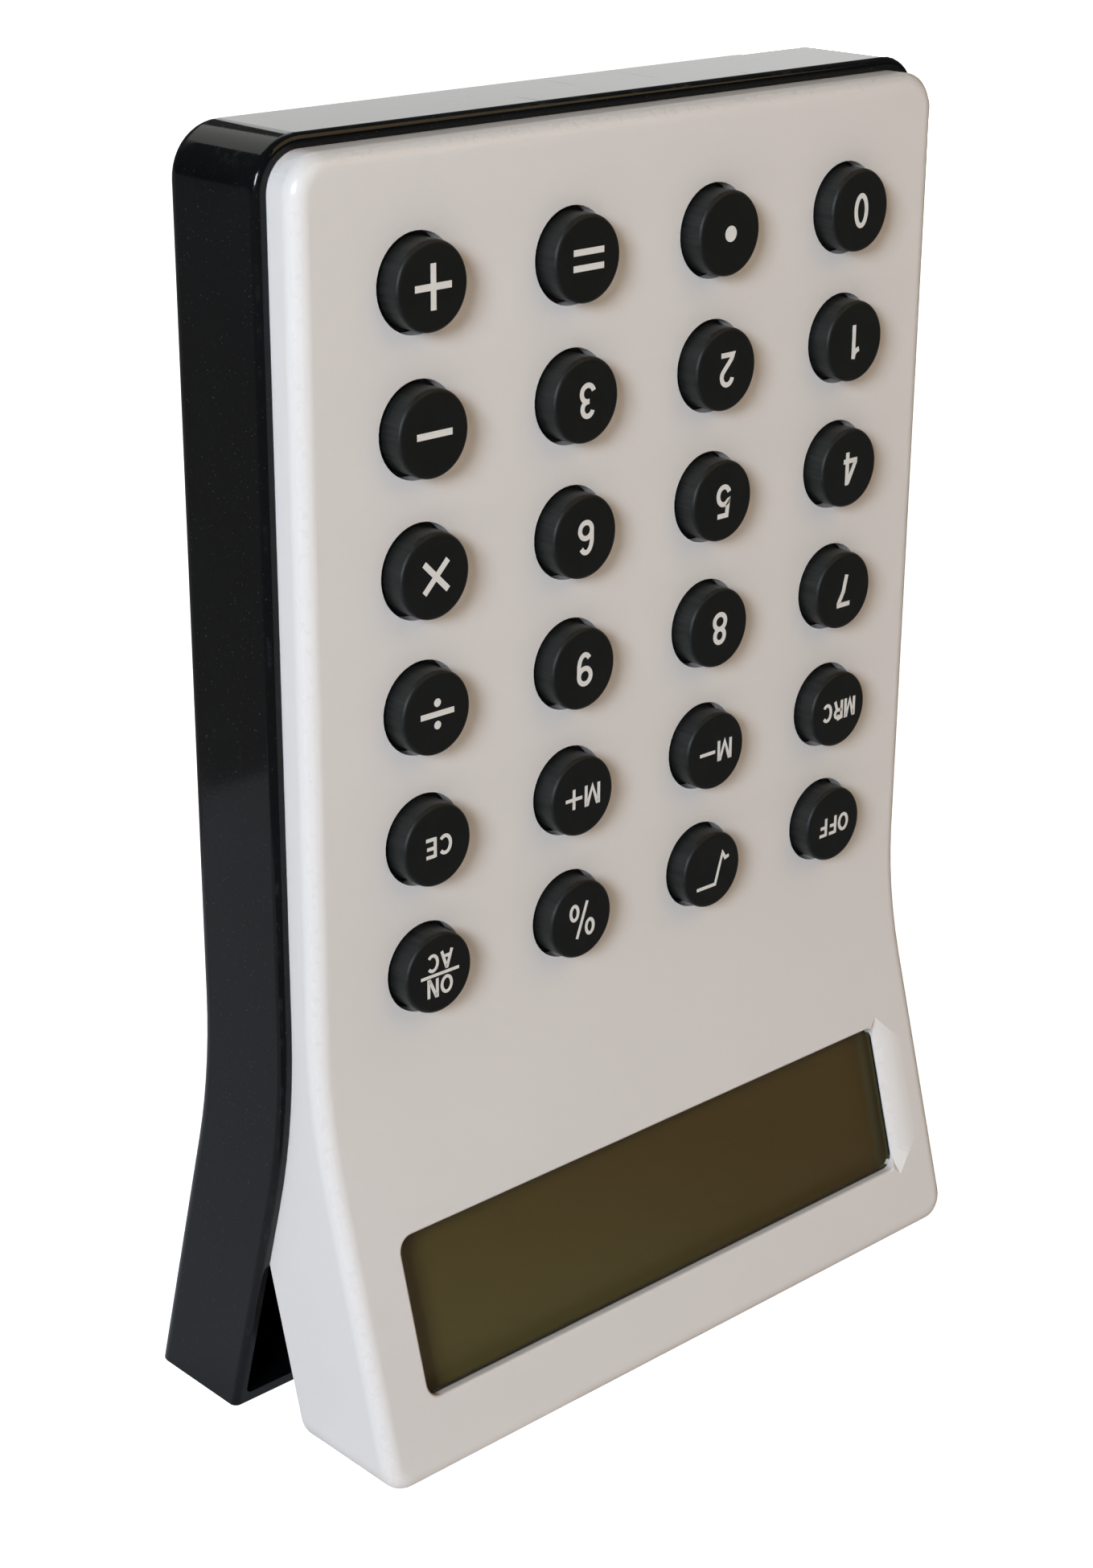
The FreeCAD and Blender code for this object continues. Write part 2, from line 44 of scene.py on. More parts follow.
class Wire:
    """One output of a finish's nodes. Sums and products of wires add the Math nodes for them."""

    def __init__(self, tree, socket):
        self.tree = tree
        self.socket = socket

    def node(self, kind, settings=None, inputs=None, output=0):
        """Adds a shader node, sets it up, feeds its inputs from numbers or wires, gives one output."""
        made = self.tree.nodes.new("ShaderNode" + kind)
        for name, value in (settings or {}).items():
            if name == "stops":
                ramp = made.color_ramp.elements
                while len(ramp) < len(value):
                    ramp.new(1.0)
                for stop, (position, colour) in zip(ramp, value):
                    stop.position = position
                    stop.color = colour
            else:
                setattr(made, name, value)
        for name, value in (inputs or {}).items():
            if isinstance(value, Wire):
                self.tree.links.new(value.socket, made.inputs[name])
            else:
                made.inputs[name].default_value = value
        return Wire(self.tree, made.outputs[output]) if made.outputs else None

    def maths(self, operation, *values):
        return self.node("Math", {"operation": operation}, dict(enumerate(values)))

    def __add__(self, other):
        return self.maths("ADD", self, other)

    def __sub__(self, other):
        return self.maths("SUBTRACT", self, other)

    def __rsub__(self, other):
        return self.maths("SUBTRACT", other, self)

    def __mul__(self, other):
        return self.maths("MULTIPLY", self, other)

    def __abs__(self):
        return self.maths("ABSOLUTE", self)

    def __gt__(self, other):
        return self.maths("GREATER_THAN", self, other)

    def __lt__(self, other):
        return self.maths("LESS_THAN", self, other)

    __radd__ = __add__
    __rmul__ = __mul__

    def between(self, low, high):
        """0 at low, 1 at high, and a smooth change from one to the other."""
        settings = {"interpolation_type": "SMOOTHSTEP"}
        return self.node("MapRange", settings, {0: self, 1: low, 2: high, 3: 0.0, 4: 1.0})

    def tint(self, first, second):
        """The first colour where this wire is 0 and the second where it is 1."""
        return self.node("Mix", {"data_type": "RGBA"}, {0: self, 6: first, 7: second}, output=2)

    def axes(self):
        parts = self.node("SeparateXYZ", inputs={0: self}).socket.node.outputs
        return [Wire(self.tree, part) for part in parts]

    def stretched(self, x, y, z):
        return self.node("VectorMath", {"operation": "MULTIPLY"}, {0: self, 1: (x, y, z)})

    def noise(self, scale, detail=2.0, roughness=0.5):
        return self.node("TexNoise", None,
                         {"Vector": self, "Scale": scale, "Detail": detail, "Roughness": roughness})

    def bump(self, height):
        """The surface's own direction, tilted as if this wire stood proud, at most height metres."""
        return self.node("Bump", None, {"Strength": 1.0, "Distance": height, "Height": self})

    def edges(self, flat=0.06, round_edge=0.2):
        """1 on rounded edges and 0 on flat faces, whichever way those face."""
        facing = self.node("TexCoord", output="Normal")
        x, y, z = facing.axes()
        square = self.maths("MAXIMUM", self.maths("MAXIMUM", abs(x), abs(y)), abs(z))
        return (1.0 - square).between(flat, round_edge)

    def surface(self, **inputs):
        """The finished shader, in this wire's material."""
        names = {"colour": "Base Color", "roughness": "Roughness", "metallic": "Metallic",
                 "normal": "Normal", "gloss": "Specular IOR Level",
                 "subsurface": "Subsurface Weight", "depth": "Subsurface Scale"}
        fed = {names[name]: value for name, value in inputs.items()}
        made = self.node("BsdfPrincipled", None, fed)
        made.node("OutputMaterial", None, {"Surface": made})


def new_finish(name):
    """An empty material, and the wire that says where a point lies on the object, in metres."""
    material = bpy.data.materials.new(name)
    material.use_nodes = True
    material.node_tree.nodes.clear()
    return material, Wire(material.node_tree, None).node("TexCoord", output="Object")


def finish_nodes(material, *names):
    for name in names:
        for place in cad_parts[name].material_slots:
            place.material = material


white_abs, at = new_finish("white_abs")
mottle = at.noise(35.0, 3.0)
grain = at.noise(2600.0, 1.0)
ripple = at.noise(210.0, 1.0)
scuffs = at.edges() * at.noise(900.0, 3.0, 0.5).between(0.2, 0.9)
clean = mottle.between(0.2, 0.8).tint((0.806, 0.802, 0.792, 1), (0.822, 0.818, 0.808, 1))
at.surface(colour=(scuffs * 0.05).tint(clean, (0.640, 0.615, 0.580, 1)),
           roughness=0.24 + mottle * 0.04 + scuffs * 0.05,
           gloss=0.45,
           normal=(ripple * 0.8 + grain * 0.2).bump(0.000012))
finish_nodes(white_abs, "front_shell", "leg_cover")


# ---- Black rear tray ----
# The tray behind the case is moulded in black ABS with a piano-gloss face. It is nested round the
# case and held by six screws. Wiping leaves hairline scratches, and dust settles on it.

black_abs, at = new_finish("black_abs")
hairline_a = at.stretched(1.0, 1.0, 0.05).noise(1500.0, 2.0, 0.7).between(0.66, 0.72)
hairline_b = at.stretched(1.0, 0.08, 0.7).noise(1100.0, 2.0, 0.7).between(0.67, 0.73)
smears = at.noise(48.0, 3.0, 0.6).between(0.4, 0.75)
dust = at.noise(5200.0, 0.0).between(0.80, 0.86)
worn = at.edges() * at.noise(300.0, 4.0, 0.7).between(0.48, 0.7)
wave = at.noise(60.0, 1.0)
body = smears.tint((0.0020, 0.0026, 0.0032, 1), (0.0032, 0.0040, 0.0050, 1))
body = (worn * 0.5).tint(body, (0.020, 0.021, 0.022, 1))
at.surface(colour=(dust * 0.5).tint(body, (0.10, 0.10, 0.095, 1)),
           roughness=0.07 + smears * 0.06 + (hairline_a + hairline_b) * 0.12 + worn * 0.16 + dust * 0.3,
           gloss=0.30,
           normal=(wave * 0.85 + at.noise(2400.0, 1.0) * 0.15).bump(0.000010))
finish_nodes(black_abs, "rear_shell")


# ---- Battery hatch ----
# A plate of the same black ABS covers the coin cell from the back. Its tool was spark-eroded, so
# its face is a fine matt texture, rubbed smooth on the ridges where a finger pulls it.

hatch_abs, at = new_finish("hatch_abs")
pits = at.noise(3800.0, 2.0, 0.7)
rubbed = at.edges(0.02, 0.2) * at.noise(350.0, 3.0).between(0.4, 0.7)
at.surface(colour=pits.between(0.3, 0.7).tint((0.0075, 0.0080, 0.0085, 1), (0.0125, 0.0130, 0.0135, 1)),
           roughness=0.46 + pits * 0.16 - rubbed * 0.2,
           gloss=0.4,
           normal=pits.bump(0.00004))
finish_nodes(hatch_abs, "battery_hatch")


# ---- Screws ----
# Small pan-head screws with a cross recess, of zinc-plated steel, turned from wire. The plating is
# thin at the rims of the heads and has a faint warm and cool bloom.

zinc, at = new_finish("zinc_plated_steel")
bloom = at.noise(900.0, 3.0)
lathe = at.stretched(1.0, 6.0, 1.0).noise(1700.0, 2.0)
plated = bloom.between(0.3, 0.7).tint((0.60, 0.61, 0.64, 1), (0.68, 0.66, 0.60, 1))
at.surface(colour=(at.edges(0.02, 0.3) * bloom).tint(plated, (0.40, 0.38, 0.35, 1)),
           metallic=1.0,
           roughness=0.26 + lathe * 0.22,
           normal=lathe.bump(0.000015))
finish_nodes(zinc, "case_screws", "cover_screws", "board_screws", "display_screws", "hatch_screw")


# ---- Key caps ----
# Twenty-four round caps, moulded in charcoal ABS with a fine satin texture and a small rounded
# rim. Each slides in its own hole. Drawing from the tool leaves faint streaks along the sides, and
# fingers polish the middle of the tops. The sides are also painted paler than the tops all round:
# painted light, standing in for the lamp's light that grazes them.

key_abs, at = new_finish("key_abs")
column_pitch = 0.023
row_pitch = 0.01623
keypad_centre = 0.1019
flat_top_radius = 0.00475
cap_radius = 0.0050
fingertip_radius = 0.0042
x, y, z = at.axes()
across = at.maths("WRAP", x, 0.0, column_pitch) - column_pitch / 2
upward = at.maths("WRAP", z - keypad_centre, 0.0, row_pitch) - row_pitch / 2
round_centre = at.node("CombineXYZ", None, {0: across, 1: upward, 2: 0.0})
reach = round_centre.node("VectorMath", {"operation": "LENGTH"}, {0: round_centre}, output="Value")
turn = at.maths("ARCTAN2", upward, across)
each_key = at.node("CombineXYZ", None, {0: turn * 0.005, 1: y * 0.05, 2: (x + z) * 0.2})
streaks = each_key.noise(2300.0, 3.0, 0.6)
satin = at.noise(4200.0, 2.0, 0.7)
patches = at.noise(260.0, 3.0)
side = reach.between(flat_top_radius, cap_radius)
polished = (1.0 - reach.between(0.0008, fingertip_radius)) * patches.between(0.35, 0.7)
charcoal = (0.0040, 0.0054, 0.0052, 1)
paler_charcoal = (0.0056, 0.0072, 0.0070, 1)
top_colour = patches.between(0.3, 0.7).tint(charcoal, paler_charcoal)
# Colour of the sides: the tool's streaks over painted light, paler than the tops.
streaked_side_with_painted_light = streaks.between(0.35, 0.7).tint((0.0062, 0.0080, 0.0080, 1), (0.0130, 0.0152, 0.0152, 1))
at.surface(colour=side.tint(top_colour, streaked_side_with_painted_light),
           roughness=0.40 + satin * 0.12 - polished * 0.12 + side * 0.05,
           gloss=0.35,
           normal=(satin * 0.7 + streaks * side * 0.3).bump(0.000022))
keys = [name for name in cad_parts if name.startswith("key_")]
finish_nodes(key_abs, *keys)


# ---- Key legends ----
# The signs are pad printed in white ink on the key tops, and stand proud by the ink's thickness.
# The ink covers unevenly and its edges are a little soft. They read with the display at the top,
# so on a calculator that stands on its display end they are upside down.

ink, at = new_finish("legend_ink")
cover = at.noise(2900.0, 3.0, 0.7)
thin = cover.between(0.62, 0.75)
at.surface(colour=(thin * 0.5).tint((0.80, 0.81, 0.79, 1), (0.42, 0.43, 0.42, 1)),
           roughness=0.42 + cover * 0.2,
           gloss=0.4,
           normal=cover.bump(0.000012))

ink_height = 0.00003
layer_rise = 0.0000006
ink_foot = 0.00001
flange_radius = 0.0062
degrees_per_step = 7


def curve(centre_x, centre_y, half_width, half_height, start, end):
    """Points along part of an oval between two angles in degrees, anticlockwise if end is larger."""
    steps = max(4, int(abs(end - start) / degrees_per_step))
    angles = [math.radians(start + (end - start) * step / steps) for step in range(steps + 1)]
    return [(centre_x + half_width * math.cos(a), centre_y + half_height * math.sin(a)) for a in angles]


def ring(centre_x, centre_y, half_width, half_height):
    return curve(centre_x, centre_y, half_width, half_height, 0, 360)


def straight(*points):
    return list(points)


# Each sign is a list of pen lines on a body one unit high, with its width.
digit_width = 0.58
signs = {
    "0": (digit_width, [ring(0.29, 0.5, 0.215, 0.43)]),
    "1": (digit_width, [straight((0.36, 0), (0.36, 1)),
                        straight((0.13, 0.73), (0.24, 0.76), (0.33, 0.86), (0.37, 1.0))]),
    "2": (digit_width, [curve(0.29, 0.70, 0.205, 0.225, 170, -30)
                        + [(0.40, 0.50), (0.25, 0.34), (0.12, 0.19), (0.075, 0.075), (0.53, 0.075)]]),
    "3": (digit_width, [curve(0.28, 0.725, 0.185, 0.20, 165, -90) + [(0.22, 0.525)],
                        curve(0.28, 0.30, 0.215, 0.225, 90, -165)]),
    "4": (digit_width, [straight((0.56, 0.27), (0.06, 0.27), (0.06, 0.34), (0.37, 0.94)),
                        straight((0.40, 0), (0.40, 1))]),
    "5": (digit_width, [straight((0.51, 0.925), (0.15, 0.925), (0.10, 0.50))
                        + curve(0.275, 0.335, 0.22, 0.26, 140, -160)]),
    "6": (digit_width, [curve(0.295, 0.56, 0.215, 0.37, 42, 180) + [(0.08, 0.40), (0.08, 0.30)],
                        ring(0.295, 0.30, 0.215, 0.225)]),
    "7": (digit_width, [straight((0.04, 0.925), (0.52, 0.925), (0.52, 0.86), (0.33, 0.52), (0.21, 0.0))]),
    "8": (digit_width, [ring(0.29, 0.72, 0.185, 0.205), ring(0.29, 0.295, 0.215, 0.22)]),
    "9": (digit_width, [curve(0.285, 0.44, 0.215, 0.37, 222, 360) + [(0.50, 0.60), (0.50, 0.70)],
                        ring(0.285, 0.70, 0.215, 0.225)]),
    "A": (0.70, [straight((0.04, 0), (0.33, 0.94), (0.37, 0.94), (0.66, 0)),
                 straight((0.14, 0.31), (0.56, 0.31))]),
    "C": (0.70, [curve(0.375, 0.5, 0.295, 0.425, 42, 318)]),
    "E": (0.60, [straight((0.08, 0), (0.08, 1)), straight((0.08, 0.925), (0.56, 0.925)),
                 straight((0.08, 0.52), (0.52, 0.52)), straight((0.08, 0.075), (0.57, 0.075))]),
    "F": (0.57, [straight((0.08, 0), (0.08, 1)), straight((0.08, 0.925), (0.54, 0.925)),
                 straight((0.08, 0.50), (0.48, 0.50))]),
    "M": (0.82, [straight((0.08, 0), (0.08, 0.96), (0.16, 0.96), (0.41, 0.10),
                          (0.66, 0.96), (0.74, 0.96), (0.74, 0))]),
    "N": (0.70, [straight((0.08, 0), (0.08, 0.97), (0.15, 0.97), (0.55, 0.03), (0.62, 0.03), (0.62, 1))]),
    "O": (0.76, [ring(0.38, 0.5, 0.30, 0.425)]),
    "R": (0.70, [straight((0.08, 0), (0.08, 0.925), (0.38, 0.925)) + curve(0.38, 0.72, 0.20, 0.205, 90, -90)
                 + [(0.08, 0.515)], straight((0.34, 0.515), (0.46, 0.42), (0.60, 0.0))]),
}


def word(text, height, width, pen, middle_y=0.0, gap=0.14):
    """Pen lines of a word in millimetres, centred, drawn to a given height and total width."""
    total = sum(signs[letter][0] for letter in text) + gap * (len(text) - 1)
    squeeze = width / (total * height)
    lines = []
    left = -width / 2
    for letter in text:
        for line in signs[letter][1]:
            placed = [(left + px * height * squeeze, middle_y + (py - 0.5) * height) for px, py in line]
            lines.append((pen, placed))
        left += (signs[letter][0] + gap) * height * squeeze
    return lines


broad_pen = 0.78
cross_pen = 0.74
fine_pen = 0.45


def bar(half_width, middle_y=0.0, pen=broad_pen, middle_x=0.0):
    return (pen, [(middle_x - half_width, middle_y), (middle_x + half_width, middle_y)])


def dot(half_width, middle_y=0.0):
    return (half_width, ring(0.0, middle_y, half_width / 2, half_width / 2))


def memory(plus):
    """M with its sign, in millimetres."""
    letter_x = -1.5
    sign_x = 1.55
    letter = word("M", 2.6, 2.6, fine_pen)
    lines = [(pen, [(px + letter_x, py) for px, py in line]) for pen, line in letter]
    lines.append(bar(1.35, 0.0, fine_pen, sign_x))
    if plus:
        lines.append((fine_pen, [(sign_x, -1.3), (sign_x, 1.3)]))
    return lines


legends = {
    "key_plus": [bar(2.6), (broad_pen, [(0, -2.55), (0, 2.55)])],
    "key_equals": [bar(2.35, 0.9, cross_pen), bar(2.35, -0.9, cross_pen)],
    "key_minus": [bar(2.55)],
    "key_times": [(cross_pen, [(-1.75, -1.75), (1.75, 1.75)]),
                  (cross_pen, [(-1.75, 1.75), (1.75, -1.75)])],
    "key_divide": [bar(2.5, 0.0, 0.7), dot(0.5, 1.35), dot(0.5, -1.35)],
    "key_point": [dot(0.95)],
    "key_percent": [(fine_pen, ring(-1.3, 1.2, 0.6, 0.93)), (fine_pen, ring(1.3, -1.2, 0.6, 0.93)),
                    (0.42, [(-0.85, -2.35), (0.85, 2.35)])],
    "key_root": [(fine_pen, [(-2.85, -1.35), (-2.2, -1.15), (-1.7, -2.0), (-0.45, 2.05), (2.85, 2.05)])],
    "key_on_clear": (word("ON", 2.3, 3.9, 0.42, 1.62) + [bar(2.95, 0.0, 0.4)]
                     + word("AC", 2.3, 3.9, 0.42, -1.62)),
    "key_clear_entry": word("CE", 2.5, 4.0, fine_pen),
    "key_memory_add": memory(True),
    "key_memory_subtract": memory(False),
    "key_memory_recall": word("MRC", 2.5, 6.2, fine_pen),
    "key_off": word("OFF", 2.5, 5.6, fine_pen),
}
digit_height = 4.25
digit_breadth = 2.55
digit_pen = 0.62
for number in range(10):
    legends["key_" + str(number)] = word(str(number), digit_height, digit_breadth, digit_pen)


def sideways(line, spot, closed):
    """Unit step across a pen line at one of its points, longer where the line turns."""
    count = len(line)
    before = line[(spot - 1) % (count - 1)] if closed else line[max(spot - 1, 0)]
    after = line[(spot + 1) % (count - 1)] if closed else line[min(spot + 1, count - 1)]
    here = Vector(line[spot])
    way_in = here - Vector(before) if (closed or spot > 0) else Vector(after) - here
    way_out = Vector(after) - here if (closed or spot < count - 1) else way_in
    way_in.normalize()
    way_out.normalize()
    along = (way_in + way_out).normalized()
    stretch = 1.0 / max(along.dot(way_out), 0.5)
    return Vector((-along.y, along.x)) * stretch


def print_legend(key, lines):
    """Raised ink on a key top: every pen line is a low ridge with a flat top and square sides."""
    low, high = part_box(key)
    centre_x = (low[0] + high[0]) / 2
    centre_z = high[2] - flange_radius
    points = []
    faces = []
    for layer, (pen, line) in enumerate(lines):
        closed = len(line) > 3 and math.dist(line[0], line[-1]) < 1e-6
        count = len(line) - 1 if closed else len(line)
        first = len(points)
        rise = ink_height + layer * layer_rise
        for spot in range(count):
            step = sideways(line, spot, closed) * pen / 2
            for way in (1, -1):
                across_x = (line[spot][0] + way * step.x) / 1000
                across_z = (line[spot][1] + way * step.y) / 1000
                for depth in (rise, -ink_foot):
                    points.append((centre_x - across_x, low[1] - depth, centre_z - across_z))
        for spot in range(count if closed else count - 1):
            a = first + spot * 4
            b = first + (spot + 1) % count * 4
            faces.append((a, a + 2, b + 2, b))
            faces.append((a + 1, a, b, b + 1))
            faces.append((a + 2, a + 3, b + 3, b + 2))
            faces.append((a + 3, a + 1, b + 1, b + 3))
        if not closed:
            last = first + (count - 1) * 4
            faces.append((first, first + 1, first + 3, first + 2))
            faces.append((last, last + 2, last + 3, last + 1))
    mesh = bpy.data.meshes.new(key + "_legend")
    mesh.from_pydata(points, [], faces)
    mesh.materials.append(ink)
    legend = bpy.data.objects.new(key.replace("key_", "legend_"), mesh)
    bpy.context.scene.collection.objects.link(legend)
    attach(legend, key + "_body")


for key, lines in legends.items():
    print_legend(key, lines)


# ---- Keypad mat and pills ----
# One sheet of grey silicone rubber springs all the keys back. It is pressed in a heated tool and has
# a hollow dome under each key, with a pill of black carbon-filled rubber that closes the contact.

silicone, at = new_finish("silicone_rubber")
cloud = at.noise(120.0, 3.0)
talc = at.noise(1900.0, 3.0, 0.7)
at.surface(colour=cloud.between(0.3, 0.7).tint((0.40, 0.42, 0.42, 1), (0.48, 0.50, 0.49, 1)),
           roughness=0.5 + talc * 0.2,
           subsurface=0.25,
           depth=0.001,
           normal=talc.bump(0.00002))
finish_nodes(silicone, "keypad_mat")

carbon, at = new_finish("carbon_rubber")
soot = at.noise(5200.0, 2.0, 0.7)
at.surface(colour=soot.between(0.3, 0.7).tint((0.010, 0.010, 0.011, 1), (0.026, 0.026, 0.027, 1)),
           roughness=0.62 + soot * 0.2,
           normal=soot.bump(0.00003))
finish_nodes(carbon, "contact_pills")


# ---- Circuit boards ----
# Both boards are glass-filled laminate, routed to shape and covered with green solder mask. Copper
# tracks show through the mask as paler, slightly raised lines; the cut edges are bare and yellowish.

laminate, at = new_finish("board_laminate")
x, y, z = at.axes()
track_pitch = 0.0016
track_half = 0.00024
runs_up = abs(at.maths("WRAP", x, -track_pitch / 2, track_pitch / 2)) < track_half
runs_across = abs(at.maths("WRAP", z, -track_pitch / 2, track_pitch / 2)) < track_half
district = at.stretched(1.0, 0.0, 1.0).noise(75.0, 0.0)
tracks = at.maths("MAXIMUM", runs_up * (district > 0.54), runs_across * (district < 0.46))
weave = at.noise(1400.0, 2.0)
facing = at.node("TexCoord", output="Normal").axes()
cut_edge = abs(facing[1]) < 0.5
mask = tracks.tint((0.012, 0.085, 0.032, 1), (0.045, 0.210, 0.075, 1))
laminate_edge = weave.between(0.3, 0.7).tint((0.42, 0.36, 0.20, 1), (0.54, 0.47, 0.29, 1))
at.surface(colour=cut_edge.tint(mask, laminate_edge),
           roughness=0.3 + weave * 0.15 + cut_edge * 0.3,
           normal=(tracks * 0.7 + weave * 0.3).bump(0.00004))
finish_nodes(laminate, "main_board", "display_board")


# ---- Parts on the main board ----
# The chip is glued to the board bare and sealed under a drop of black epoxy. The capacitor is an
# aluminium can in a shrunk dark blue sleeve.

epoxy, at = new_finish("epoxy_drop")
flow = at.noise(380.0, 2.0)
at.surface(colour=flow.between(0.3, 0.7).tint((0.010, 0.010, 0.011, 1), (0.018, 0.018, 0.019, 1)),
           roughness=0.18 + flow * 0.14,
           normal=flow.bump(0.00008))
finish_nodes(epoxy, "chip_blob")

sleeve, at = new_finish("capacitor_sleeve")
low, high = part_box("capacitor")
x, y, z = at.axes()
bare_length = 0.0004
stripe_height = 0.0013
bare_end = (x > high[0] - bare_length) + (x < low[0] + bare_length)
stripe = z > (low[2] + high[2]) / 2 + stripe_height
wrinkle = at.stretched(0.3, 1.0, 1.0).noise(1500.0, 2.0)
film = stripe.tint((0.012, 0.022, 0.075, 1), (0.52, 0.54, 0.56, 1))
at.surface(colour=bare_end.tint(film, (0.62, 0.62, 0.62, 1)),
           metallic=bare_end,
           roughness=0.3 + wrinkle * 0.14,
           normal=wrinkle.bump(0.00003))
finish_nodes(sleeve, "capacitor")


# ---- Coin cell and contacts ----
# The cell is pressed stainless steel, turned bright, with fine circular marks from the lathe. Its
# contacts are stamped spring strip, nickel plated, and darken where they rub.

cell_steel, at = new_finish("cell_steel")
low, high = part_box("coin_cell")
cell_centre_z = (low[2] + high[2]) / 2
x, y, z = at.axes()
from_middle = at.node("CombineXYZ", None, {0: x, 1: z - cell_centre_z, 2: 0.0})
rings = from_middle.node("VectorMath", {"operation": "LENGTH"}, {0: from_middle}, output="Value")
lathe_marks = at.node("CombineXYZ", None, {0: rings, 1: 0.0, 2: 0.0}).noise(9000.0, 2.0)
print_marks = at.noise(240.0, 3.0)
at.surface(colour=print_marks.between(0.3, 0.7).tint((0.62, 0.62, 0.60, 1), (0.70, 0.69, 0.67, 1)),
           metallic=1.0,
           roughness=0.2 + lathe_marks * 0.2 + print_marks * 0.08,
           normal=lathe_marks.bump(0.00001))
finish_nodes(cell_steel, "coin_cell")

nickel, at = new_finish("nickel_strip")
rub = at.noise(700.0, 4.0, 0.7)
at.surface(colour=rub.between(0.45, 0.75).tint((0.66, 0.62, 0.55, 1), (0.40, 0.36, 0.30, 1)),
           metallic=1.0,
           roughness=0.24 + rub * 0.25,
           normal=at.stretched(1.0, 1.0, 0.1).noise(2600.0, 1.0).bump(0.00001))
finish_nodes(nickel, "contact_negative", "contact_positive")


# ---- Display ----
# A clear acrylic window with a thin printed border closes the opening. Behind it two sheets of
# glass with polariser film hold the liquid crystal, over an olive foil that returns the light. The
# display is off, so it shows no figures. A dark frame, a striped rubber strip and a film ribbon
# hold it and wire it up.

acrylic, at = new_finish("clear_acrylic")
lean = math.radians(15.59)
bend_y = -0.01033
bend_z = 0.04665
window_half_width = 0.04286
window_top = 0.01784
window_bottom = 0.03806
line_width = 0.00025
line_fade = 0.00006
face_depth = 0.0013
rim_depth = 0.0021
x, y, z = at.axes()
down_leg = (bend_z - z) * math.cos(lean) - (y - bend_y) * math.sin(lean)
depth = (y - bend_y) * math.cos(lean) - (z - bend_z) * math.sin(lean)
side_line = window_half_width - line_width
upper_line = window_top + line_width * 0.4
lower_line = window_bottom - line_width
beside = abs(x).between(side_line - line_fade, side_line)
above = 1.0 - down_leg.between(upper_line, upper_line + line_fade)
below = down_leg.between(lower_line - line_fade, lower_line)
border = at.maths("MAXIMUM", beside, at.maths("MAXIMUM", above, below))
print_and_shade_mask = border * (depth < rim_depth)
black_print = (0.008, 0.009, 0.012, 1)
# Deeper than the lens's face, on its rim, the border is painted dark olive: painted shade of the window's
# recess.
shaded_rim = (0.050, 0.046, 0.018, 1)
edge_colour = depth.between(face_depth, face_depth + 0.0002).tint(black_print, shaded_rim)
dirt = at.noise(900.0, 3.0, 0.7).between(0.68, 0.80)
see_through = at.node("BsdfTransparent", None, {"Color": (0.97, 0.97, 0.96, 1)})
mirror = at.node("BsdfGlossy", None, {"Color": (1, 1, 1, 1), "Roughness": 0.05})
dust_film = at.node("BsdfDiffuse", None, {"Color": (0.5, 0.5, 0.48, 1)})
print_and_shade_film = at.node("BsdfDiffuse", None, {"Color": edge_colour})
outer_face = 1.0 - at.node("NewGeometry", output="Backfacing")
gleam = at.node("Fresnel", None, {"IOR": 1.45}) * outer_face
lined = at.node("MixShader", None, {0: print_and_shade_mask, 1: see_through, 2: print_and_shade_film})
sheet = at.node("MixShader", None, {0: gleam, 1: lined, 2: mirror})
dusty = at.node("MixShader", None, {0: dirt * 0.04, 1: sheet, 2: dust_film})
at.node("OutputMaterial", None, {"Surface": dusty})
finish_nodes(acrylic, "window_lens")

polariser, at = new_finish("polarised_glass")
low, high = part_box("lcd_front_glass")
x, y, z = at.axes()
fleck = at.noise(5200.0, 2.0, 0.6)
reflection_wobble = at.noise(38.0, 2.0)
seal_middle = high[0] - 0.0018
seal_left = seal_middle - 0.0014
seal_right = seal_middle + 0.0012
seal = x.between(seal_left, seal_middle) * (1.0 - x.between(seal_middle, seal_right))
# Painted reflection: a slanted gradient, lighter towards the bottom and darker towards the top, with noise
# wavering it.
reflection_slant = (x * 0.35 + z * 1.0 + reflection_wobble * 0.006).between(0.000, 0.034)
painted_reflection = reflection_slant.tint((0.107, 0.090, 0.025, 1), (0.077, 0.048, 0.006, 1))
olive = (fleck * 0.25).tint(painted_reflection, (0.130, 0.098, 0.040, 1))
at.surface(colour=(seal * 0.6).tint(olive, (0.112, 0.104, 0.046, 1)),
           roughness=0.30 + fleck * 0.15,
           gloss=0.25,
           normal=fleck.bump(0.000008))
finish_nodes(polariser, "lcd_front_glass", "lcd_rear_glass")

foil, at = new_finish("reflector_foil")
sparkle = at.noise(6200.0, 2.0, 0.6)
at.surface(colour=sparkle.between(0.35, 0.65).tint((0.30, 0.27, 0.17, 1), (0.42, 0.39, 0.27, 1)),
           metallic=0.6,
           roughness=0.42 + sparkle * 0.2,
           normal=sparkle.bump(0.00002))
finish_nodes(foil, "lcd_reflector")

frame_abs, at = new_finish("frame_abs")
pits = at.noise(3300.0, 2.0)
at.surface(colour=pits.between(0.3, 0.7).tint((0.010, 0.010, 0.010, 1), (0.020, 0.020, 0.019, 1)),
           roughness=0.5 + pits * 0.15,
           normal=pits.bump(0.00003))
finish_nodes(frame_abs, "lcd_frame")

striped, at = new_finish("striped_rubber")
x = at.axes()[0]
layer_pitch = 0.00018
conducting = abs(at.maths("WRAP", x, -layer_pitch / 2, layer_pitch / 2)) < layer_pitch / 4
rubber_grain = at.noise(3000.0, 2.0)
at.surface(colour=conducting.tint((0.52, 0.30, 0.28, 1), (0.012, 0.012, 0.012, 1)),
           roughness=0.55 + rubber_grain * 0.15,
           normal=rubber_grain.bump(0.00001))
finish_nodes(striped, "zebra_strip")

